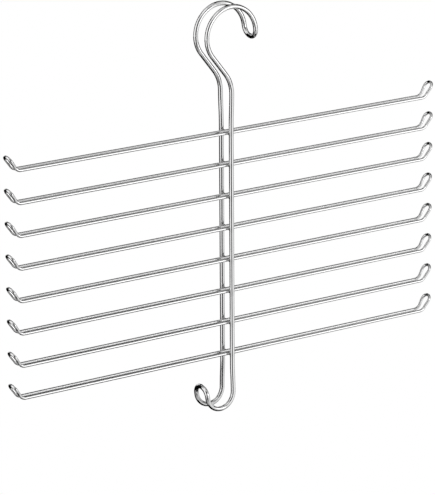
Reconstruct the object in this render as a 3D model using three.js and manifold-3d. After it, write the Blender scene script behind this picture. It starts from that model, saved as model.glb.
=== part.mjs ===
// Tiered wire hanger for a closet rod, in chrome-plated steel wire.
//
// One thick wire is bent into a closed loop with its two runs one behind the other. It makes the rod hook,
// the S-shaped neck, the spine and the small hook at the tail. Narrow closed loops of thinner wire, the
// rungs, pass between the two runs of the spine and are welded to both of them. Nothing moves.
//
// Millimetres, +Z up, +X to the right along the rungs, +Y to the rear.
// The origin is the rod seat: the inside of the hook's crown, midway between the two runs.

import * as THREE from 'three';
import { mergeVertices } from 'three/addons/utils/BufferGeometryUtils.js';
import Module from 'manifold-3d';

// Wire stock, as diameters
const SPINE_WIRE = 4;
const RUNG_WIRE = 2.5;

// Rungs
const RUNG_COUNT = 8;
const RUNG_PITCH = 27; // from one rung down to the next
const RUNG_STRAIGHT = 401; // straight length between the two turned-up ends
const RUNG_SLOT = 4.4; // clear width between the two runs of one rung
const RUNG_TIP_SLOT = 6.1; // the same at the tips, where the runs spread into the U-bend
const RUNG_BEND_RADIUS = 6; // centre line of the bend that turns an end up
const RUNG_END_ANGLE = THREE.MathUtils.degToRad(55); // slope of a turned-up end
const RUNG_END_STRAIGHT = 7; // from that bend to the U-bend, over which the runs spread

// Rod hook and neck
const HOOK_BORE = 44.5; // inside diameter, for a closet rod of 32 to 35 mm
const HOOK_END_ANGLE = THREE.MathUtils.degToRad(7); // where the arc stops, above its centre's level
const NECK_RADIUS = 28; // centre line of the bend from the spine into the neck
const NECK_STRAIGHT = 20.5; // slanted straight between the neck bend and the hook's arc
const NECK_LENGTH = 33.5; // straight spine from the neck bend down to the top rung

// Tail hook
const TAIL_LENGTH = 32; // straight spine from the bottom rung down to the tail hook
const TAIL_BORE = 22; // inside diameter
const TAIL_LEAN = THREE.MathUtils.degToRad(8); // outward lean of the tip
const TAIL_TIP_STRAIGHT = 1;

// Spacing of the two runs of the spine, and the welds that close the gap to the rungs
const TIP_SPACING = 16; // between run centres at the hook and the tail
const SPLAY_MARGIN = 6; // runs are parallel for this far past the top and bottom rungs
const WELD_GAP = 0.3; // between a spine run and the rung run welded to it
const WELD_CLEARANCE = 0.1; // between a weld nugget and each of its two wires
const WELD_WIDTH = 4.4; // along the rung
const WELD_HEIGHT = 3.4; // along the spine
const WELD_DEPTH = 2.2; // across the gap

// Facets
const SPINE_SIDES = 12;
const RUNG_SIDES = 10;
const WELD_SIDES = 12;
const CUTTER_SIDES = 24;
const BEND_TOLERANCE = 0.08; // furthest a bend's facets lie inside its true arc

// Sizes and heights that follow
const rungSpacing = RUNG_SLOT + RUNG_WIRE;
const rungTipSpacing = RUNG_TIP_SLOT + RUNG_WIRE;
const spineSpacing = rungSpacing + RUNG_WIRE + SPINE_WIRE + 2 * WELD_GAP;
const hookRadius = (HOOK_BORE + SPINE_WIRE) / 2;
const tailRadius = (TAIL_BORE + SPINE_WIRE) / 2;
const neckAngle = angleThatCentresHook();
const hookCentreZ = -HOOK_BORE / 2;
const neckZ = hookCentreZ
  - (NECK_RADIUS + hookRadius) * Math.sin(neckAngle)
  - NECK_STRAIGHT * Math.cos(neckAngle);
const topRungZ = neckZ - NECK_LENGTH;

const RIGHT = new THREE.Vector3(1, 0, 0);
const LEFT = new THREE.Vector3(-1, 0, 0);
const REAR = new THREE.Vector3(0, 1, 0);
const FRONT = new THREE.Vector3(0, -1, 0);
const UP = new THREE.Vector3(0, 0, 1);
const DOWN = new THREE.Vector3(0, 0, -1);

// The neck leans just enough to bring the hook's centre over the spine, so that the hanger hangs plumb:
// (NECK_RADIUS + hookRadius) cos a - NECK_STRAIGHT sin a = NECK_RADIUS.
function angleThatCentresHook() {
  const across = NECK_RADIUS + hookRadius;
  const reach = Math.hypot(across, NECK_STRAIGHT);
  return Math.acos(NECK_RADIUS / reach) - Math.atan2(NECK_STRAIGHT, across);
}

// A closed wire, laid out as a wire bender makes it: one straight or bend after another, back to the start.
// Cross-sections stand only where the wire needs them, at the ends of straights and along the bends.
class BentWire extends THREE.Curve {
  constructor(start, heading) {
    super();
    this.position = start.clone();
    this.heading = heading.clone();
    this.stations = [];
  }

  mark() {
    this.stations.push({ point: this.position.clone(), tangent: this.heading.clone() });
  }

  straight(length) {
    this.mark();
    this.position.addScaledVector(this.heading, length);
    return this;
  }

  // A straight that drifts sideways a little and leaves the heading as it was.
  splay(length, sideways) {
    this.straight(length);
    this.position.add(sideways);
    return this;
  }

  // A bend toward a side, which need not be square to the heading.
  bend(radius, angle, side) {
    const origin = this.position.clone();
    const along = this.heading.clone();
    const inward = side.clone().addScaledVector(along, -side.dot(along)).normalize();
    const steps = Math.ceil(angle / (2 * Math.acos(1 - BEND_TOLERANCE / radius)));
    for (let i = 1; i <= steps; i += 1) {
      this.mark();
      const turn = (angle * i) / steps;
      this.position.copy(origin)
        .addScaledVector(along, radius * Math.sin(turn))
        .addScaledVector(inward, radius * (1 - Math.cos(turn)));
      this.heading.copy(along).multiplyScalar(Math.cos(turn)).addScaledVector(inward, Math.sin(turn));
    }
    return this;
  }

  station(u) {
    return this.stations[Math.round(u * this.stations.length) % this.stations.length];
  }

  getPointAt(u, target = new THREE.Vector3()) {
    return target.copy(this.station(u).point);
  }

  getTangentAt(u, target = new THREE.Vector3()) {
    return target.copy(this.station(u).tangent);
  }

  geometry(diameter, sides) {
    return new THREE.TubeGeometry(this, this.stations.length, diameter / 2, sides, true);
  }
}

// The spine wire: down the front run, round the tail hook, up the rear run, over the rod hook and back.
function spineGeometry() {
  const splayOut = (TIP_SPACING - spineSpacing) / 2;
  const neckSplay = NECK_LENGTH - SPLAY_MARGIN;
  const tailSplay = TAIL_LENGTH - SPLAY_MARGIN;
  const parallel = (RUNG_COUNT - 1) * RUNG_PITCH + 2 * SPLAY_MARGIN;
  const tailTurn = Math.PI - TAIL_LEAN;
  const hookTurn = Math.PI + neckAngle - HOOK_END_ANGLE;
  const wire = new BentWire(new THREE.Vector3(0, -TIP_SPACING / 2, neckZ), DOWN);
  wire
    .splay(neckSplay, REAR.clone().multiplyScalar(splayOut))
    .straight(parallel)
    .splay(tailSplay, FRONT.clone().multiplyScalar(splayOut))
    .bend(tailRadius, tailTurn, LEFT)
    .straight(TAIL_TIP_STRAIGHT)
    .bend(TIP_SPACING / 2, Math.PI, REAR)
    .straight(TAIL_TIP_STRAIGHT)
    .bend(tailRadius, tailTurn, RIGHT)
    .splay(tailSplay, FRONT.clone().multiplyScalar(splayOut))
    .straight(parallel)
    .splay(neckSplay, REAR.clone().multiplyScalar(splayOut))
    .bend(NECK_RADIUS, neckAngle, LEFT)
    .straight(NECK_STRAIGHT)
    .bend(hookRadius, hookTurn, RIGHT)
    .bend(TIP_SPACING / 2, Math.PI, FRONT)
    .bend(hookRadius, hookTurn, LEFT)
    .straight(NECK_STRAIGHT)
    .bend(NECK_RADIUS, neckAngle, LEFT);
  return wire.geometry(SPINE_WIRE, SPINE_SIDES);
}

// A rung, with its straight runs at the level of its own origin.
function rungGeometry() {
  const spread = (rungTipSpacing - rungSpacing) / 2;
  const wire = new BentWire(new THREE.Vector3(-RUNG_STRAIGHT / 2, -rungSpacing / 2, 0), RIGHT);
  for (const across of [REAR, FRONT]) {
    const drift = across.clone().multiplyScalar(-spread);
    wire
      .straight(RUNG_STRAIGHT)
      .bend(RUNG_BEND_RADIUS, RUNG_END_ANGLE, UP)
      .splay(RUNG_END_STRAIGHT, drift)
      .bend(rungTipSpacing / 2, Math.PI, across)
      .splay(RUNG_END_STRAIGHT, drift)
      .bend(RUNG_BEND_RADIUS, RUNG_END_ANGLE, UP);
  }
  return wire.geometry(RUNG_WIRE, RUNG_SIDES);
}

const wasm = await Module();
wasm.setup();

function toSolid(geometry) {
  const bare = geometry.clone();
  bare.deleteAttribute('normal');
  bare.deleteAttribute('uv');
  const merged = mergeVertices(bare);
  return new wasm.Manifold(new wasm.Mesh({
    numProp: 3,
    vertProperties: merged.attributes.position.array,
    triVerts: merged.index.array,
  }));
}

function toGeometry(solid) {
  const mesh = solid.getMesh();
  const geometry = new THREE.BufferGeometry();
  geometry.setAttribute('position', new THREE.BufferAttribute(mesh.vertProperties, 3));
  geometry.setIndex(new THREE.BufferAttribute(mesh.triVerts, 1));
  geometry.computeVertexNormals();
  return geometry;
}

// What a weld stays clear of: a length of wire along Y with the weld's clearance round it.
function wireCutter(diameter, length) {
  const radius = diameter / 2 + WELD_CLEARANCE;
  return new THREE.CylinderGeometry(radius, radius, length, CUTTER_SIDES);
}

// A weld nugget at a front crossing: the saddle left of an ellipsoid between an upright spine run in front
// and a level rung run behind. Its origin is the middle of the gap.
function weldGeometry() {
  const nugget = new THREE.SphereGeometry(1, WELD_SIDES, WELD_SIDES)
    .scale(WELD_WIDTH / 2, WELD_DEPTH / 2, WELD_HEIGHT / 2);
  const spineCutter = wireCutter(SPINE_WIRE, 2 * WELD_HEIGHT)
    .rotateX(Math.PI / 2)
    .translate(0, -(WELD_GAP + SPINE_WIRE) / 2, 0);
  const rungCutter = wireCutter(RUNG_WIRE, 2 * WELD_WIDTH)
    .rotateZ(Math.PI / 2)
    .translate(0, (WELD_GAP + RUNG_WIRE) / 2, 0);
  return toGeometry(toSolid(nugget).subtract(toSolid(spineCutter)).subtract(toSolid(rungCutter)));
}

function chromeWire() {
  return new THREE.MeshStandardMaterial({ color: 0xdfe1e4, metalness: 1, roughness: 0.1 });
}

function chromedWeld() {
  return new THREE.MeshStandardMaterial({ color: 0xc4c7cb, metalness: 1, roughness: 0.25 });
}

function addMesh(parent, name, geometry, material) {
  const mesh = new THREE.Mesh(geometry, material);
  mesh.name = name;
  parent.add(mesh);
  return mesh;
}

const hanger = new THREE.Group();
addMesh(hanger, 'spine_wire', spineGeometry(), chromeWire());

const rungShape = rungGeometry();
const weldShape = weldGeometry();
const weldY = (rungSpacing + RUNG_WIRE + WELD_GAP) / 2;

for (let number = 1; number <= RUNG_COUNT; number += 1) {
  const tier = new THREE.Group();
  tier.position.z = topRungZ - (number - 1) * RUNG_PITCH;
  hanger.add(tier);
  addMesh(tier, `rung_${number}`, rungShape, chromeWire());
  const frontWeld = addMesh(tier, `weld_front_${number}`, weldShape, chromedWeld());
  frontWeld.position.y = -weldY;
  const rearWeld = addMesh(tier, `weld_rear_${number}`, weldShape, chromedWeld());
  rearWeld.position.y = weldY;
  rearWeld.rotation.z = Math.PI;
}

export default hanger;
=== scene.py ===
# %% [markdown]
# # A tiered wire hanger in bright chrome
# The hanger is bent from two sizes of round steel wire. One thick wire makes the rod hook, the neck, the
# spine and the tail hook. Eight thinner wires, the rungs, pass between its two runs and are welded to them.
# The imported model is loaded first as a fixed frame, so every piece below is made in metres, in its place.

# %% Load the frame
import math
from types import SimpleNamespace

import bpy
from mathutils import Matrix, Vector


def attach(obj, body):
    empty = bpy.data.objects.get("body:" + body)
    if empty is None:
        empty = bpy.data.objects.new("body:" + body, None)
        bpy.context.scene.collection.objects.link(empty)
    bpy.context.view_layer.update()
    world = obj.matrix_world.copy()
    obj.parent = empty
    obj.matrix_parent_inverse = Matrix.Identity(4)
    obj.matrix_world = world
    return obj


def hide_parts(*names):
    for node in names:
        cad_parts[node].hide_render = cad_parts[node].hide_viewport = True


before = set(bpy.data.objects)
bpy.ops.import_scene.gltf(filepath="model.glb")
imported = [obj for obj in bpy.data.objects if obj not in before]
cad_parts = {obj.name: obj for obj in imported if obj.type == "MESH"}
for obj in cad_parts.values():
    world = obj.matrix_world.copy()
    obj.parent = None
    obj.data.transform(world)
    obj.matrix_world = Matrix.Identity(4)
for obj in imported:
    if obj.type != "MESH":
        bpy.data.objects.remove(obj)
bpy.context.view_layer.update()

# %% [markdown]
# ## Where the rungs hang
# The origin is the rod seat, the point of the hook that rests on the closet rod. All the rest hangs below it,
# so the heights of the rungs follow from the hook and the neck. Sizes are written in millimetres, as a wire
# bender lists them, and turned into metres, Blender's own unit.

# %% Heights of the rungs
MM = 0.001
SPINE_WIRE = 4 * MM  # its diameter
HOOK_BORE = 44.5 * MM  # inside diameter of the rod hook
NECK_RADIUS = 28 * MM  # bend from the spine into the neck
NECK_STRAIGHT = 20.5 * MM  # slanted length between that bend and the hook
NECK_LENGTH = 33.5 * MM  # from that bend down to the top rung
RUNG_COUNT = 8
RUNG_PITCH = 27 * MM

hook_radius = (HOOK_BORE + SPINE_WIRE) / 2

# The neck leans just enough to bring the hook's centre over the spine.
neck_reach = math.hypot(NECK_RADIUS + hook_radius, NECK_STRAIGHT)
neck_angle = (
    math.acos(NECK_RADIUS / neck_reach)
    - math.atan2(NECK_STRAIGHT, NECK_RADIUS + hook_radius)
)
neck_height = (
    -HOOK_BORE / 2
    - (NECK_RADIUS + hook_radius) * math.sin(neck_angle)
    - NECK_STRAIGHT * math.cos(neck_angle)
)
rung_heights = [neck_height - NECK_LENGTH - tier * RUNG_PITCH for tier in range(RUNG_COUNT)]
print("Neck bend of", round(math.degrees(neck_angle), 2), "degrees")
print("Rungs from", round(rung_heights[0], 4), "down to", round(rung_heights[-1], 4), "m")

# %% [markdown]
# ## Starting a wire
# A rung is one closed loop of thin wire with two long runs, one behind the other. It could be a curve with a
# round bevel. Here it is drawn the way a bender forms it, because each step is then a real one: a ring of
# vertices is the wire's cut end, an extrude pushes out a straight, and a spin turns a bend about its centre.
# The end ring stays selected, so the next step always goes on from there.

# %% Cut end of the rung's wire
RIGHT, LEFT = Vector((1, 0, 0)), Vector((-1, 0, 0))
REAR, FRONT = Vector((0, 1, 0)), Vector((0, -1, 0))
UP, DOWN = Vector((0, 0, 1)), Vector((0, 0, -1))

RUNG_WIRE = 2.5 * MM
RUNG_SIDES = 24
RUNG_STRAIGHT = 401 * MM
RUNG_SPACING = 6.9 * MM  # between the centres of the two runs


def cut_end(name, place, heading, diameter, sides):
    """The open end of a new wire, with its place, its heading and the length of wire up to each ring."""
    bpy.ops.object.select_all(action="DESELECT")
    bpy.ops.mesh.primitive_circle_add(
        vertices=sides, radius=diameter / 2, fill_type="NOTHING", location=place,
        rotation=heading.to_track_quat("Z", "Y").to_euler(),
    )
    piece = bpy.context.object
    piece.name = piece.data.name = name
    bpy.ops.object.transform_apply(location=True, rotation=True, scale=True)
    bpy.ops.object.mode_set(mode="EDIT")
    bpy.ops.mesh.select_all(action="SELECT")
    return SimpleNamespace(
        piece=piece, place=place.copy(), heading=heading.copy(),
        radius=diameter / 2, sides=sides, lengths=[0.0],
    )


rung_start = Vector((-RUNG_STRAIGHT / 2, -RUNG_SPACING / 2, rung_heights[0]))
rung_wire = cut_end("rung_chrome_1", rung_start, RIGHT, RUNG_WIRE, RUNG_SIDES)
print("The rung's wire starts at", [round(v, 4) for v in rung_wire.place], "as a ring of", RUNG_SIDES)

# %% [markdown]
# ## A straight
# A straight is a single extrude along the heading. It may also drift a little to one side, which the splay
# further down makes use of.

# %% Front run of the rung


def straight(wire, length, drift=Vector()):
    """Pushes the end ring on along the heading."""
    step = wire.heading * length + drift
    bpy.ops.mesh.extrude_region_move(TRANSFORM_OT_translate={"value": step})
    wire.place += step
    wire.lengths.append(wire.lengths[-1] + step.length)


straight(rung_wire, RUNG_STRAIGHT)
print("The front run ends at", [round(v, 4) for v in rung_wire.place])

# %% [markdown]
# ## A bend
# A bender turns the wire round a pin, and a spin does the same: the pin's centre lies to the side that the
# wire turns to, and the ring swings round it in small steps. Both ends of a rung turn up like this, so that
# nothing slides off.

# %% Turn the end up
BEND_STEP = math.radians(4)
RUNG_BEND_RADIUS = 6 * MM
RUNG_END_ANGLE = math.radians(55)


def bend(wire, radius, angle, side):
    """Bends the wire toward a side, which need not be square to the heading."""
    inward = (side - wire.heading * side.dot(wire.heading)).normalized()
    centre = wire.place + inward * radius
    steps = math.ceil(angle / BEND_STEP)
    # Spin turns against the right-hand rule, so its axis is the reverse of the turn's.
    bpy.ops.mesh.spin(steps=steps, angle=angle, center=centre, axis=inward.cross(wire.heading))
    turn = Matrix.Rotation(angle, 3, wire.heading.cross(inward))
    wire.place = centre + turn @ (wire.place - centre)
    wire.heading = turn @ wire.heading
    start = wire.lengths[-1]
    wire.lengths += [start + radius * angle * (i + 1) / steps for i in range(steps)]


bend(rung_wire, RUNG_BEND_RADIUS, RUNG_END_ANGLE, UP)
print("The turned-up end heads along", [round(v, 3) for v in rung_wire.heading])

# %% [markdown]
# ## A splay
# The two runs spread a little on their way up to the tip, which leaves room for the U-bend that joins them. A
# splay is a straight in a few short steps that ease sideways, so it comes out with its heading unchanged.

# %% Bend the tip
SPLAY_STEPS = 8
RUNG_TIP_SPACING = 8.6 * MM
RUNG_END_STRAIGHT = 7 * MM

rung_spread = (RUNG_TIP_SPACING - RUNG_SPACING) / 2


def splay(wire, length, drift):
    """A straight that eases sideways and comes out with its heading unchanged."""
    eased = [(1 - math.cos(math.pi * i / SPLAY_STEPS)) / 2 for i in range(SPLAY_STEPS + 1)]
    for before, after in zip(eased, eased[1:]):
        straight(wire, length / SPLAY_STEPS, drift * (after - before))


def bend_tip(across):
    """From the turned-up end of one run round the tip, and down to the start of the other run."""
    splay(rung_wire, RUNG_END_STRAIGHT, -across * rung_spread)
    bend(rung_wire, RUNG_TIP_SPACING / 2, math.pi, across)
    splay(rung_wire, RUNG_END_STRAIGHT, -across * rung_spread)
    bend(rung_wire, RUNG_BEND_RADIUS, RUNG_END_ANGLE, UP)


bend_tip(REAR)
print("The rear run starts at", [round(v, 4) for v in rung_wire.place])

# %% [markdown]
# ## The way back
# The rear run and the other tip repeat these steps and bring the wire back to its start.

# %% Rear run and the other tip
straight(rung_wire, RUNG_STRAIGHT)
bend(rung_wire, RUNG_BEND_RADIUS, RUNG_END_ANGLE, UP)
bend_tip(FRONT)
print("Wire in one rung:", round(rung_wire.lengths[-1], 3), "m")
print("Its end misses its start by", round((rung_wire.place - rung_start).length / MM, 4), "mm")

# %% [markdown]
# ## Closing the loop
# The path is back at its start, so the two end rings lie on each other and are merged, as a butt weld would
# join the ends of a real loop. Before that, each corner notes where it lay on the straight wire. Drawing
# marks run along a wire, so the finish reads that attribute and follows every bend.

# %% Close the rung
STRAIGHT_GRAIN = "straight_wire"
MERGE_REACH = 0.01 * MM


def note_grain(wire):
    """Rings were added in order, so a vertex's number gives its ring and its place round the wire."""
    mesh = wire.piece.data
    grain = mesh.attributes.new(STRAIGHT_GRAIN, "FLOAT_VECTOR", "CORNER")
    for corner, loop in enumerate(mesh.loops):
        ring, spoke = divmod(loop.vertex_index, wire.sides)
        turn = 2 * math.pi * spoke / wire.sides
        grain.data[corner].vector = (
            wire.radius * math.cos(turn), wire.radius * math.sin(turn), wire.lengths[ring],
        )


def close_loop(wire):
    """Merges the two ends and returns the finished piece."""
    bpy.ops.object.mode_set(mode="OBJECT")
    note_grain(wire)
    bpy.ops.object.mode_set(mode="EDIT")
    bpy.ops.mesh.select_all(action="SELECT")
    bpy.ops.mesh.remove_doubles(threshold=MERGE_REACH)
    bpy.ops.mesh.normals_make_consistent(inside=False)
    bpy.ops.object.mode_set(mode="OBJECT")
    bpy.ops.object.shade_smooth()
    return wire.piece


def open_edges(piece):
    """How many edges don't have a face on each side. A closed piece has none."""
    faces = {}
    for polygon in piece.data.polygons:
        for edge in polygon.edge_keys:
            faces[edge] = faces.get(edge, 0) + 1
    return sum(1 for count in faces.values() if count != 2)


rung = close_loop(rung_wire)
print("Rung:", len(rung.data.polygons), "faces; open edges:", open_edges(rung))

# %% [markdown]
# ## The other tiers
# All eight rungs are the same, so the other seven are copies of the first, moved down by the pitch. Each copy
# has its own mesh and is moved inside it, so its object stays at the origin as the frame's own parts do.

# %% Copy the rung


def copied(piece, name, step):
    """A copy with a mesh of its own, moved inside that mesh."""
    twin = piece.copy()
    twin.data = piece.data.copy()
    twin.name = twin.data.name = name
    bpy.context.collection.objects.link(twin)
    twin.data.transform(Matrix.Translation(step))
    return twin


rungs = [rung]
for tier in range(1, RUNG_COUNT):
    rungs.append(copied(rung, f"rung_chrome_{tier + 1}", DOWN * RUNG_PITCH * tier))
print("Rungs:", [piece.name for piece in rungs])

# %% [markdown]
# ## The spine
# The thick wire is one closed loop too, and the same three steps bend it. It starts at the front of the neck
# and goes down the front run. The two runs clamp the rungs between them and stand further apart at the two
# hooks, so a stretch above the rungs and one below them ease outward.

# %% Front run of the spine
SPINE_SIDES = 32
WELD_GAP = 0.3 * MM  # between a spine run and the rung run that is welded to it
TIP_SPACING = 16 * MM  # between the centres of the two runs at the hooks
SPLAY_MARGIN = 6 * MM  # the runs stay parallel this far past the top and bottom rungs
TAIL_LENGTH = 32 * MM  # from the bottom rung down to the tail hook

spine_spacing = RUNG_SPACING + RUNG_WIRE + SPINE_WIRE + 2 * WELD_GAP
splay_out = (TIP_SPACING - spine_spacing) / 2
neck_splay = NECK_LENGTH - SPLAY_MARGIN
tail_splay = TAIL_LENGTH - SPLAY_MARGIN
parallel = (RUNG_COUNT - 1) * RUNG_PITCH + 2 * SPLAY_MARGIN

spine_start = Vector((0, -TIP_SPACING / 2, neck_height))
spine_wire = cut_end("spine_chrome_wire", spine_start, DOWN, SPINE_WIRE, SPINE_SIDES)
splay(spine_wire, neck_splay, REAR * splay_out)
straight(spine_wire, parallel)
splay(spine_wire, tail_splay, FRONT * splay_out)
print("The runs stand", round(spine_spacing / MM, 2), "mm apart at the rungs")

# %% [markdown]
# ## The tail hook
# A second hanger or a belt can hang from the small hook at the tail. The wire goes round it, crosses over in
# a U-bend at the tip, comes back the same way behind, and climbs the rear run.

# %% Tail hook and rear run
TAIL_BORE = 22 * MM
TAIL_LEAN = math.radians(8)  # the tip leans outward by this much
TAIL_TIP_STRAIGHT = 1 * MM

tail_radius = (TAIL_BORE + SPINE_WIRE) / 2
tail_turn = math.pi - TAIL_LEAN

bend(spine_wire, tail_radius, tail_turn, LEFT)
straight(spine_wire, TAIL_TIP_STRAIGHT)
bend(spine_wire, TIP_SPACING / 2, math.pi, REAR)
straight(spine_wire, TAIL_TIP_STRAIGHT)
bend(spine_wire, tail_radius, tail_turn, RIGHT)
splay(spine_wire, tail_splay, FRONT * splay_out)
straight(spine_wire, parallel)
splay(spine_wire, neck_splay, REAR * splay_out)
print("The rear run ends at", [round(v, 4) for v in spine_wire.place])

# %% [markdown]
# ## The neck and the rod hook
# The neck swings out to the left and the hook comes back over the rod to the right, which puts the rod seat
# plumb above the spine. The last U-bend is the hook's tip, and the front half closes the loop.

# %% Neck and rod hook
HOOK_END_ANGLE = math.radians(7)  # the arc stops this far above the level of its centre

hook_turn = math.pi + neck_angle - HOOK_END_ANGLE

bend(spine_wire, NECK_RADIUS, neck_angle, LEFT)
straight(spine_wire, NECK_STRAIGHT)
bend(spine_wire, hook_radius, hook_turn, RIGHT)
bend(spine_wire, TIP_SPACING / 2, math.pi, FRONT)
bend(spine_wire, hook_radius, hook_turn, LEFT)
straight(spine_wire, NECK_STRAIGHT)
bend(spine_wire, NECK_RADIUS, neck_angle, LEFT)
spine = close_loop(spine_wire)
print("Wire in the spine:", round(spine_wire.lengths[-1], 3), "m; open edges:", open_edges(spine))

# %% [markdown]
# ## A weld nugget
# Where a rung crosses a spine run, a resistance welder squeezed the two wires and melted them together. A
# small saddle of metal is left in the gap, and the chrome went on over it. It starts as a flattened ball, and
# a displacement makes its skin slightly lumpy, as metal that set quickly is.

# %% Lumpy ball
WELD_WIDTH = 4.4 * MM
WELD_DEPTH = 2.2 * MM
WELD_HEIGHT = 3.4 * MM
WELD_LUMPS = 0.12 * MM  # how far the lumps rise
WELD_LUMP_SIZE = 1.2 * MM
BALL_SEGMENTS, BALL_RINGS = 48, 32

weld_reach = (RUNG_SPACING + RUNG_WIRE + WELD_GAP) / 2
weld_place = Vector((0, -weld_reach, rung_heights[0]))

bpy.ops.object.select_all(action="DESELECT")
bpy.ops.mesh.primitive_uv_sphere_add(
    segments=BALL_SEGMENTS, ring_count=BALL_RINGS, radius=1 / 2, location=weld_place,
    scale=(WELD_WIDTH, WELD_DEPTH, WELD_HEIGHT),
)
weld = bpy.context.object
weld.name = weld.data.name = "weld_chrome_front_1"
bpy.ops.object.transform_apply(location=True, rotation=True, scale=True)

lumps = weld.modifiers.new("lumps", "DISPLACE")
lumps.texture = bpy.data.textures.new("weld_lumps", "CLOUDS")
lumps.texture.noise_scale = WELD_LUMP_SIZE
lumps.texture_coords = "LOCAL"
lumps.strength = WELD_LUMPS
bpy.ops.object.modifier_apply(modifier="lumps")
print("Ball of", [round(v / MM, 2) for v in weld.dimensions], "mm")

# %% [markdown]
# ## The saddle
# The two wires are now cut out of the ball with a boolean, so the nugget lies against both of them. The
# cutters are a hair thinner than the wires, and the nugget bites into each wire by that much, so that no slit
# shows.

# %% Cut the wires out
WELD_BITE = 0.05 * MM
CUTTER_LENGTH = 12 * MM
CUTTER_SIDES = 64
WELD_MERGE_REACH = 0.005 * MM
CREASE = math.radians(40)  # sharper edges than this stay sharp


def wire_cutter(diameter, place, turn):
    """A short length of wire to cut from the nugget."""
    bpy.ops.object.select_all(action="DESELECT")
    bpy.ops.mesh.primitive_cylinder_add(
        vertices=CUTTER_SIDES, radius=diameter / 2 - WELD_BITE, depth=CUTTER_LENGTH,
        location=place, rotation=turn,
    )
    return bpy.context.object


spine_cut = wire_cutter(SPINE_WIRE, weld_place + FRONT * (WELD_GAP + SPINE_WIRE) / 2, (0, 0, 0))
rung_cut = wire_cutter(RUNG_WIRE, weld_place + REAR * (WELD_GAP + RUNG_WIRE) / 2, (0, math.pi / 2, 0))
bpy.context.view_layer.objects.active = weld
for cutter in (spine_cut, rung_cut):
    cut = weld.modifiers.new("cut", "BOOLEAN")
    cut.operation = "DIFFERENCE"
    cut.solver = "EXACT"
    cut.object = cutter
    bpy.ops.object.modifier_apply(modifier="cut")
    bpy.data.objects.remove(cutter, do_unlink=True)

bpy.ops.object.select_all(action="DESELECT")
weld.select_set(True)
bpy.ops.object.mode_set(mode="EDIT")
bpy.ops.mesh.select_all(action="SELECT")
bpy.ops.mesh.remove_doubles(threshold=WELD_MERGE_REACH)
bpy.ops.mesh.normals_make_consistent(inside=False)
bpy.ops.object.mode_set(mode="OBJECT")
bpy.ops.object.shade_smooth_by_angle(angle=CREASE)
print("Weld:", len(weld.data.polygons), "faces; open edges:", open_edges(weld))

# %% [markdown]
# ## A weld at every crossing
# Each rung is welded to the front run and to the rear run. A rear weld is a front weld that was turned half
# round about the plumb line through the origin.

# %% Copy the weld
front_welds, rear_welds = [weld], []
half_turn = Matrix.Rotation(math.pi, 4, "Z")
for tier in range(RUNG_COUNT):
    down = DOWN * RUNG_PITCH * tier
    if tier:
        front_welds.append(copied(weld, f"weld_chrome_front_{tier + 1}", down))
    rear = copied(weld, f"weld_chrome_rear_{tier + 1}", down)
    rear.data.transform(half_turn)
    rear_welds.append(rear)
print("Welds:", len(front_welds), "in front and", len(rear_welds), "behind")

# %% [markdown]
# ## Colours and nodes
# A finish is a small tree of nodes. One function adds any node, with its settings and its links. Another
# turns a colour, written as a hex code, into the linear light that Blender reckons with.

# %% Material helpers


def linear(hex_colour):
    """An sRGB hex colour as the linear RGBA that Blender's sockets take."""
    channels = [int(hex_colour[i:i + 2], 16) / 255 for i in (1, 3, 5)]
    return [c / 12.92 if c <= 0.04045 else ((c + 0.055) / 1.055) ** 2.4 for c in channels] + [1.0]


def add_node(tree, kind, inputs=(), **settings):
    """Adds a node, sets its properties, and gives each input a value or a link."""
    node = tree.nodes.new(kind)
    for name, value in settings.items():
        setattr(node, name, value)
    for name, value in dict(inputs).items():
        if isinstance(value, bpy.types.NodeSocket):
            tree.links.new(value, node.inputs[name])
        else:
            node.inputs[name].default_value = value
    return node


def new_material(name):
    """An empty material with its output node."""
    material = bpy.data.materials.new(name)
    material.use_nodes = True
    material.node_tree.nodes.clear()
    output = material.node_tree.nodes.new("ShaderNodeOutputMaterial")
    return material, material.node_tree, output


print("Mid grey #808080 is", round(linear("#808080")[0], 3), "in linear light")

# %% [markdown]
# ## How close a weld is
# Chromium plates thinly in a nook, so the shine is a little softer close to each weld, where the wires crowd
# together. There the colour is also painted darker, as painted shade between the crowded wires. The finish
# needs to know how far each point is from the nearest weld. The welds stand in a column one pitch apart, so
# the nearest tier is the drop below the top rung, counted in pitches and rounded.

# %% Nook pattern
NOOK_CORE = 1.5 * MM
NOOK_EDGE = 6 * MM


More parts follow.
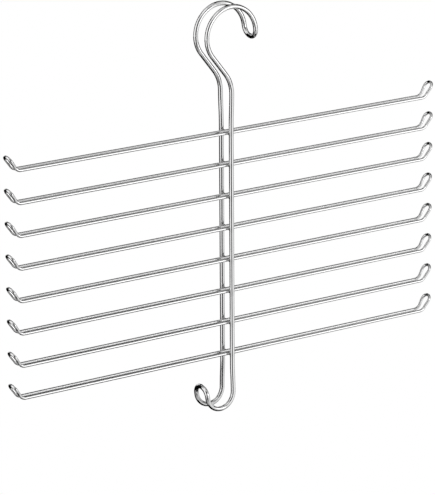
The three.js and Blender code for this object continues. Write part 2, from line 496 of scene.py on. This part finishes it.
def nook(tree):
    """One at a weld, and nothing from a few millimetres away."""
    place = add_node(tree, "ShaderNodeTexCoord")
    axes = add_node(tree, "ShaderNodeSeparateXYZ", {"Vector": place.outputs["Object"]})
    drop = add_node(tree, "ShaderNodeMath", {
        0: rung_heights[0], 1: axes.outputs["Z"],
    }, operation="SUBTRACT")
    pitches = add_node(tree, "ShaderNodeMath", {0: drop.outputs[0], 1: RUNG_PITCH}, operation="DIVIDE")
    whole = add_node(tree, "ShaderNodeMath", {0: pitches.outputs[0]}, operation="ROUND")
    tier = add_node(tree, "ShaderNodeClamp", {
        "Value": whole.outputs[0], "Min": 0, "Max": RUNG_COUNT - 1,
    })
    above_or_below = add_node(tree, "ShaderNodeMath", {
        0: tier.outputs[0], 1: -RUNG_PITCH, 2: drop.outputs[0],
    }, operation="MULTIPLY_ADD")
    depth = add_node(tree, "ShaderNodeMath", {0: axes.outputs["Y"]}, operation="ABSOLUTE")
    in_or_out = add_node(tree, "ShaderNodeMath", {0: depth.outputs[0], 1: weld_reach}, operation="SUBTRACT")
    offset = add_node(tree, "ShaderNodeCombineXYZ", {
        "X": axes.outputs["X"], "Y": in_or_out.outputs[0], "Z": above_or_below.outputs[0],
    })
    distance = add_node(tree, "ShaderNodeVectorMath", {0: offset.outputs[0]}, operation="LENGTH")
    close = add_node(tree, "ShaderNodeMapRange", {
        "Value": distance.outputs["Value"], "From Min": NOOK_CORE, "From Max": NOOK_EDGE,
        "To Min": 1.0, "To Max": 0.0,
    }, interpolation_type="SMOOTHSTEP")
    return close.outputs["Result"]


print("The plating is softer within", round(NOOK_EDGE / MM), "mm of a weld")

# %% [markdown]
# ## Chrome on drawn wire
# Steel wire is drawn through a die, which leaves faint lines along it, and a straightener leaves a very
# slight wave. The wave isn't in the mesh: its changing reflection is painted into the colour, a little
# brighter or dimmer along the wire. Then nickel and a thin coat of chromium are plated on. Chromium is a
# bright and neutral metal, so almost all that the eye sees is the room mirrored in it. The lines only break
# up the edges of those mirrored shapes. A plain metallic colour would give the mirror, but not that fine
# unevenness.

# %% Chrome on drawn wire
DIE_LINE_WIDTH = 0.25 * MM  # real die lines are about 0.02 mm, too fine to show, so they are drawn coarser
DIE_LINE_LENGTH = 40 * MM
DIE_LINE_DEPTH = 0.01 * MM
STRAIGHTENER_WAVE = 14 * MM
POLISHED = 0.02  # roughness between the die lines
SPINE_STREAKS, RUNG_STREAKS = 0.045, 0.05  # roughness in the die lines of the two wires
DIE_LINE_RELIEF = 0.02  # share of their depth that the bump shows
NOISE_LOW, NOISE_HIGH = 0.3, 0.7  # most of a noise texture lies between these
NOOK_SOFTNESS = 0.06  # roughness that a nook adds
# The third tone is painted shade: the chrome is painted darker near each weld, where the wires crowd.
BRIGHT_CHROME, DIM_CHROME, PAINTED_NOOK_SHADE = "#EDEDED", "#E6E6E6", "#D2D2D2"
# A Mix node has several sockets of each name, so its colour sockets go by number.
FACTOR, COLOUR_A, COLOUR_B, MIXED_COLOUR = 0, 6, 7, 2


def chrome_on_wire(name, streaked):
    """Chrome-plated drawn wire: mirror bright, with faint streaks that run along the wire."""
    material, tree, output = new_material(name)
    drawn = add_node(tree, "ShaderNodeAttribute", attribute_name=STRAIGHT_GRAIN)
    stretched = add_node(tree, "ShaderNodeMapping", {
        "Vector": drawn.outputs["Vector"],
        "Scale": (1 / DIE_LINE_WIDTH, 1 / DIE_LINE_WIDTH, 1 / DIE_LINE_LENGTH),
    })
    lines = add_node(tree, "ShaderNodeTexNoise", {
        "Vector": stretched.outputs["Vector"], "Scale": 1.0, "Detail": 2.0,
    })
    wave = add_node(tree, "ShaderNodeTexNoise", {
        "Vector": drawn.outputs["Vector"], "Scale": 1 / STRAIGHTENER_WAVE, "Detail": 1.0,
    })
    nook_shade_and_softness = nook(tree)
    # Painted reflection: the wave noise makes the colour a little brighter or dimmer along the wire.
    open_tone = add_node(tree, "ShaderNodeMix", {
        FACTOR: wave.outputs["Fac"], COLOUR_A: linear(DIM_CHROME), COLOUR_B: linear(BRIGHT_CHROME),
    }, data_type="RGBA")
    # Painted shade: near each weld the colour is painted darker, and the roughness rises there too.
    tone = add_node(tree, "ShaderNodeMix", {
        FACTOR: nook_shade_and_softness, COLOUR_A: open_tone.outputs[MIXED_COLOUR], COLOUR_B: linear(PAINTED_NOOK_SHADE),
    }, data_type="RGBA")
    streaks = add_node(tree, "ShaderNodeMapRange", {
        "Value": lines.outputs["Fac"], "From Min": NOISE_LOW, "From Max": NOISE_HIGH,
        "To Min": POLISHED, "To Max": streaked,
    })
    rough = add_node(tree, "ShaderNodeMath", {
        0: nook_shade_and_softness, 1: NOOK_SOFTNESS, 2: streaks.outputs["Result"],
    }, operation="MULTIPLY_ADD")
    bump = add_node(tree, "ShaderNodeBump", {
        "Height": lines.outputs["Fac"], "Strength": DIE_LINE_RELIEF, "Distance": DIE_LINE_DEPTH,
    })
    shader = add_node(tree, "ShaderNodeBsdfPrincipled", {
        "Base Color": tone.outputs[MIXED_COLOUR], "Metallic": 1.0,
        "Roughness": rough.outputs[0], "Normal": bump.outputs["Normal"],
    })
    tree.links.new(shader.outputs["BSDF"], output.inputs["Surface"])
    return material


spine_finish = chrome_on_wire("chrome_plated_spine_wire", SPINE_STREAKS)
rung_finish = chrome_on_wire("chrome_plated_rung_wire", RUNG_STREAKS)
print("Wire finishes:", spine_finish.name, "and", rung_finish.name)

# %% [markdown]
# ## Chrome on a weld
# The same metal covers the welds, but scale from the heat left their ground pitted. The eye sees a softer and
# greyer patch that mirrors only in a blur, so the pits drive the colour, the roughness and the bump alike.

# %% Chrome on a weld
PIT_SIZE = 0.5 * MM
PIT_DEPTH = 0.05 * MM
PIT_RELIEF = 0.4  # share of that depth that the bump shows
PIT_CHROME, GROUND_CHROME = "#ABABAB", "#D0D0D0"
SMOOTHEST_WELD, ROUGHEST_WELD = 0.18, 0.34


def chrome_on_weld(name):
    """Chrome over a weld: the same metal on a pitted, rougher ground."""
    material, tree, output = new_material(name)
    place = add_node(tree, "ShaderNodeTexCoord")
    pits = add_node(tree, "ShaderNodeTexNoise", {
        "Vector": place.outputs["Object"], "Scale": 1 / PIT_SIZE, "Detail": 3.0,
    })
    tone = add_node(tree, "ShaderNodeMix", {
        FACTOR: pits.outputs["Fac"], COLOUR_A: linear(PIT_CHROME), COLOUR_B: linear(GROUND_CHROME),
    }, data_type="RGBA")
    rough = add_node(tree, "ShaderNodeMapRange", {
        "Value": pits.outputs["Fac"], "From Min": NOISE_LOW, "From Max": NOISE_HIGH,
        "To Min": SMOOTHEST_WELD, "To Max": ROUGHEST_WELD,
    })
    bump = add_node(tree, "ShaderNodeBump", {
        "Height": pits.outputs["Fac"], "Strength": PIT_RELIEF, "Distance": PIT_DEPTH,
    })
    shader = add_node(tree, "ShaderNodeBsdfPrincipled", {
        "Base Color": tone.outputs[MIXED_COLOUR], "Metallic": 1.0,
        "Roughness": rough.outputs["Result"], "Normal": bump.outputs["Normal"],
    })
    tree.links.new(shader.outputs["BSDF"], output.inputs["Surface"])
    return material


weld_finish = chrome_on_weld("chrome_plated_weld")
print("Weld finish:", weld_finish.name)

# %% [markdown]
# ## Dressing the frame
# Each piece gets its finish, rides on the hanger's one body, and stands for the solid of the same part. The
# hanger has no moving joint, so one body carries everything.

# %% Dress the frame


def dress(piece, finish, node):
    """Gives a piece its finish and ties it to its body and its solid."""
    piece.data.materials.clear()
    piece.data.materials.append(finish)
    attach(piece, "root")
    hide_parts(node)


dress(spine, spine_finish, "spine_wire")
for tier in range(RUNG_COUNT):
    dress(rungs[tier], rung_finish, f"rung_{tier + 1}")
    dress(front_welds[tier], weld_finish, f"weld_front_{tier + 1}")
    dress(rear_welds[tier], weld_finish, f"weld_rear_{tier + 1}")
print("Dressed", 1 + 3 * RUNG_COUNT, "pieces")

# %% [markdown]
# ## The studio
# Chrome shows its surroundings, so the room is the larger part of its look. The backdrop is plain white, and
# the metal mirrors that white too. The light path tells the world which rays come from the camera or from a
# mirror, and only those see the full white.

# %% White backdrop
ROOM_LIGHT = 0.95  # what the white room adds to matt surfaces, beside the lamps

scene = bpy.context.scene
scene.view_settings.view_transform = "Standard"

room = bpy.data.worlds.new("white_studio")
scene.world = room
room.use_nodes = True
room.node_tree.nodes.clear()
path = add_node(room.node_tree, "ShaderNodeLightPath")
seen = add_node(room.node_tree, "ShaderNodeMath", {
    0: path.outputs["Is Camera Ray"], 1: path.outputs["Is Glossy Ray"],
}, operation="MAXIMUM")
seen_or_through = add_node(room.node_tree, "ShaderNodeMath", {
    0: seen.outputs[0], 1: path.outputs["Is Transmission Ray"],
}, operation="MAXIMUM")
strength = add_node(room.node_tree, "ShaderNodeMapRange", {
    "Value": seen_or_through.outputs[0], "To Min": ROOM_LIGHT, "To Max": 1.0,
})
backdrop = add_node(room.node_tree, "ShaderNodeBackground", {
    "Color": (1, 1, 1, 1), "Strength": strength.outputs["Result"],
})
add_node(room.node_tree, "ShaderNodeOutputWorld", {"Surface": backdrop.outputs[0]})
print("Backdrop:", room.name)

# %% [markdown]
# ## The floor
# The hanger hangs well clear of the ground. A plain pale disc stands for the floor below it, and takes what
# little shadow the thin wires cast.

# %% Pale floor
FLOOR_HEIGHT = -1.1
FLOOR_RADIUS = 1.5
FLOOR_SIDES = 96


def matt_paint(name, hex_colour):
    """Plain matt paint for what stands round the hanger and isn't part of it."""
    material, tree, output = new_material(name)
    shader = add_node(tree, "ShaderNodeBsdfDiffuse", {"Color": linear(hex_colour)})
    tree.links.new(shader.outputs["BSDF"], output.inputs["Surface"])
    return material


bpy.ops.object.select_all(action="DESELECT")
bpy.ops.mesh.primitive_circle_add(
    vertices=FLOOR_SIDES, radius=FLOOR_RADIUS, fill_type="NGON", location=(0, 0, FLOOR_HEIGHT),
)
floor = bpy.context.object
floor.name = "studio_floor"
floor.data.materials.append(matt_paint("pale_floor_paint", "#F1F1EF"))
print("Floor at", FLOOR_HEIGHT, "m")

# %% [markdown]
# ## Papers for the set
# On white alone a mirror would vanish, so a photographer stands dark and grey papers round the set, just out
# of the picture. Their reflections draw the dark lines along each wire. A paper that glows evenly doesn't
# depend on the lamps, so the metal is shown the tone that its colour is written in.

# %% Papers


def glowing_paper(name, hex_colour):
    """Paper that glows evenly, its lit tone painted on as a glow. No lamp stands behind it."""
    material, tree, output = new_material(name)
    shader = add_node(tree, "ShaderNodeEmission", {"Color": linear(hex_colour)})
    tree.links.new(shader.outputs["Emission"], output.inputs["Surface"])
    return material


def only_mirrored(card, paper):
    """The picture, the lamps and the floor ignore the card. Only the metal shows it."""
    card.data.materials.append(paper)
    card.visible_camera = False
    card.visible_diffuse = False
    card.visible_shadow = False


# Each paper's tone is painted on as a glow, in place of paper lit by the studio.
black = glowing_paper("black_cloth", "#0A0A0A")
charcoal = glowing_paper("charcoal_paper", "#454545")
dark_grey = glowing_paper("dark_grey_paper", "#6E6E6E")
mid_grey = glowing_paper("mid_grey_paper", "#A4A4A4")
soft_grey = glowing_paper("soft_grey_paper", "#BCBCBC")
light_grey = glowing_paper("light_grey_paper", "#D4D4D4")
off_white = glowing_paper("off_white_paper", "#E2E2E2")
white = glowing_paper("white_paper", "#F2F2F2")
print("Papers from", black.name, "to", white.name)

# %% [markdown]
# ## Screens round the set
# Each screen is a piece of one tall cylinder, between two bearings and two heights. Bearings are in degrees
# clockwise from the rear, seen from above, so 90 is right and 180 is front. The camera looks from 215. What
# stands straight behind the wires is mirrored at their edges, so it is mostly black there. The bounds and
# tones were fitted to the photograph, so that the bands along the wires fall much as they do there. Three
# were not: the two bright screens and the low one at the right rear hardly show from the front, and keep
# the metal bright when it is seen from behind.

# %% Screens
SCREEN_RADIUS = 1.2
SCREEN_SIDES = 120
SET_FLOOR, SET_TOP = -1.0, 1.1


def keep_faces(card, wanted):
    """Deletes the faces whose centre isn't wanted."""
    bpy.ops.object.mode_set(mode="EDIT")
    bpy.ops.mesh.select_mode(type="FACE")
    bpy.ops.mesh.select_all(action="DESELECT")
    bpy.ops.object.mode_set(mode="OBJECT")
    for polygon in card.data.polygons:
        polygon.select = not wanted(polygon.center)
    bpy.ops.object.mode_set(mode="EDIT")
    bpy.ops.mesh.delete(type="FACE")
    bpy.ops.object.mode_set(mode="OBJECT")


def bearing(point):
    """Degrees clockwise from the rear, seen from above."""
    return math.degrees(math.atan2(point.x, point.y)) % 360


def screen(name, paper, start, end, bottom, top):
    """A curved screen between two bearings and two heights."""
    bpy.ops.object.select_all(action="DESELECT")
    bpy.ops.mesh.primitive_cylinder_add(
        vertices=SCREEN_SIDES, radius=SCREEN_RADIUS, depth=top - bottom, end_fill_type="NOTHING",
        location=(0, 0, (top + bottom) / 2),
    )
    card = bpy.context.object
    card.name = name
    width = (end - start) % 360
    keep_faces(card, lambda centre: (bearing(centre) - start) % 360 < width)
    only_mirrored(card, paper)
    return card


screens = [
    screen("rear_screen_low_left", black, 285, 297, SET_FLOOR, -0.3),
    screen("rear_screen_left", black, 297, 345, SET_FLOOR, SET_TOP),
    screen("rear_screen_low", black, 345, 15, SET_FLOOR, -0.3),
    screen("rear_screen_bright", white, 345, 15, -0.3, 0.6),
    screen("rear_screen_high", black, 345, 15, 0.6, SET_TOP),
    screen("rear_screen_right", black, 15, 39, SET_FLOOR, SET_TOP),
    screen("right_screen_edge", charcoal, 39, 45, -0.2, SET_TOP),
    screen("right_screen_edge_low", dark_grey, 39, 45, SET_FLOOR, -0.2),
    screen("right_screen_bright", white, 45, 66, -0.1, 0.4),
    screen("right_screen_below_bright", charcoal, 45, 66, -0.2, -0.1),
    screen("right_screen_above_bright", charcoal, 45, 66, 0.4, SET_TOP),
    screen("right_screen_high", charcoal, 66, 111, -0.2, SET_TOP),
    screen("right_screen_low_rear", light_grey, 45, 81, SET_FLOOR, -0.2),
    screen("right_screen_low_front", mid_grey, 81, 111, SET_FLOOR, -0.2),
    screen("right_front_screen_edge", mid_grey, 111, 129, -0.25, SET_TOP),
    screen("right_front_screen", off_white, 129, 162, -0.25, SET_TOP),
    screen("right_front_screen_low", white, 111, 162, SET_FLOOR, -0.25),
    screen("front_screen_high", dark_grey, 162, 189, 0.3, SET_TOP),
    screen("front_screen", off_white, 162, 189, -0.3, 0.3),
    screen("front_screen_low", mid_grey, 162, 186, SET_FLOOR, -0.7),
    screen("camera_screen_high", light_grey, 189, 228, 0.65, SET_TOP),
    screen("camera_screen", black, 189, 225, -0.3, 0.65),
    screen("camera_screen_low", black, 189, 237, SET_FLOOR, -0.3),
    screen("left_screen_near", mid_grey, 225, 240, -0.2, SET_TOP),
    screen("left_screen_low", light_grey, 237, 285, SET_FLOOR, -0.72),
]
print("Screens:", {card.name: len(card.data.polygons) for card in screens}, "faces")

# %% [markdown]
# ## Cards above and below
# The upper and lower sides of a rung mirror the ceiling and the floor, so flat cards close the set there. A
# pale card draws a highlight along the wire, and a black one the thin dark line beside it.

# %% Level cards
CARD_GAP = 0.01  # between two cards, one under the other


def level_card(name, paper, left, right, front, rear, height):
    """A flat card from left to right and front to rear, at one height."""
    bpy.ops.object.select_all(action="DESELECT")
    bpy.ops.mesh.primitive_plane_add(size=1, location=((left + right) / 2, (front + rear) / 2, height))
    card = bpy.context.object
    card.name = name
    card.scale = (right - left, rear - front, 1)
    only_mirrored(card, paper)
    return card


level_cards = [
    level_card("floor_card_left", mid_grey, -1.2, -0.4, -1.2, 0.2, SET_FLOOR),
    level_card("floor_card_left_rear", black, -1.2, -0.4, 0.2, 1.2, SET_FLOOR),
    level_card("floor_card_right", mid_grey, 0.5, 1.2, -1.2, 1.2, SET_FLOOR),
    level_card("floor_card_below", black, -0.4, 0.5, -0.5, 1.2, SET_FLOOR),
    level_card("floor_card_front", light_grey, -0.4, 0.5, -1.2, -0.5, SET_FLOOR),
    level_card("ceiling_card_front", light_grey, -0.2, 0.2, -1.2, 0.2, SET_TOP),
    level_card("ceiling_card_right_front", mid_grey, 0.2, 1.2, -1.2, 0.0, SET_TOP),
    level_card("ceiling_card_bright", off_white, 0.5, 1.1, -0.4, 0.0, SET_TOP - CARD_GAP),
    level_card("ceiling_card_rear", soft_grey, -0.6, 0.3, 0.2, 1.2, SET_TOP),
    level_card("ceiling_card_left_rear", dark_grey, -1.2, -0.6, 0.2, 1.2, SET_TOP),
    level_card("ceiling_card_right_rear", black, 0.3, 1.2, 0.0, 1.2, SET_TOP),
]
print("Level cards:", [card.name for card in level_cards])

# %% [markdown]
# ## Soft lamps
# Three large soft boxes light the set at a plain level. The strip box is the brightest, and its mirror image
# is the white line along the front of each rung. A lamp's power follows from how bright its cloth should
# look and from its size, so a lamp keeps its look when its size changes.

# %% Soft boxes
BOX_DISTANCE = 1.15  # from the plumb line through the origin


def soft_box(name, toward, bottom, top, width, radiance):
    """An upright soft box at a bearing, between two heights, that faces the hanger."""
    around = math.radians(toward)
    out = Vector((math.sin(around), math.cos(around), 0))
    bpy.ops.object.light_add(type="AREA", location=out * BOX_DISTANCE + UP * (bottom + top) / 2)
    lamp = bpy.context.object
    lamp.name = lamp.data.name = name
    lamp.rotation_euler = out.to_track_quat("Z", "Y").to_euler()
    lamp.data.shape = "RECTANGLE"
    lamp.data.size, lamp.data.size_y = width, top - bottom
    lamp.data.energy = radiance * math.pi * width * (top - bottom)
    return lamp


lamps = [
    soft_box("strip_box", 144, -0.25, 0.1, 0.66, 2.0),
    soft_box("front_soft_box", 177, -0.7, 0.15, 0.6, 0.2),
    soft_box("left_soft_box", 264, -0.7, 1.1, 1.2, 0.12),
]
print("Lamps:", {lamp.name: round(lamp.data.energy, 2) for lamp in lamps}, "W")

# %% [markdown]
# ## The camera
# The photograph looks at the hanger from the front left and a little above, from far away. The place was
# found by matching the ends of the rungs, the spine and the hook in the picture. The three axes of the
# picture are worked out one by one, and together they are the camera's matrix.

# %% Camera
PICTURE_HEIGHT = 495
FOCAL_PIXELS = 3654
AIM = Vector((-0.00634, 0.00443, -0.20273))
CAMERA_DISTANCE = 3.019
CAMERA_TURN = math.radians(34.98)
CAMERA_RISE = math.radians(16.16)
CAMERA_ROLL = math.radians(-0.347)
CLIP_END = 100  # far past the floor

camera_data = bpy.data.cameras.new("camera")
camera_data.sensor_fit = "AUTO"
# The picture is taller than it is wide, so the sensor's width spans its height.
camera_data.lens = FOCAL_PIXELS * camera_data.sensor_width / PICTURE_HEIGHT
camera_data.clip_end = CLIP_END
camera = bpy.data.objects.new("camera", camera_data)
bpy.context.collection.objects.link(camera)

gaze = Vector((
    math.cos(CAMERA_RISE) * math.sin(CAMERA_TURN),
    math.cos(CAMERA_RISE) * math.cos(CAMERA_TURN),
    -math.sin(CAMERA_RISE),
))
level = Vector((math.cos(CAMERA_TURN), -math.sin(CAMERA_TURN), 0))
plumb = level.cross(gaze)
across_picture = level * math.cos(CAMERA_ROLL) + plumb * math.sin(CAMERA_ROLL)
up_picture = plumb * math.cos(CAMERA_ROLL) - level * math.sin(CAMERA_ROLL)
camera.matrix_world = Matrix((across_picture, up_picture, -gaze)).transposed().to_4x4()
camera.location = AIM - gaze * CAMERA_DISTANCE
scene.camera = camera
print("Camera at", [round(v, 3) for v in camera.location])
print("Lens of", round(camera_data.lens, 1), "mm")
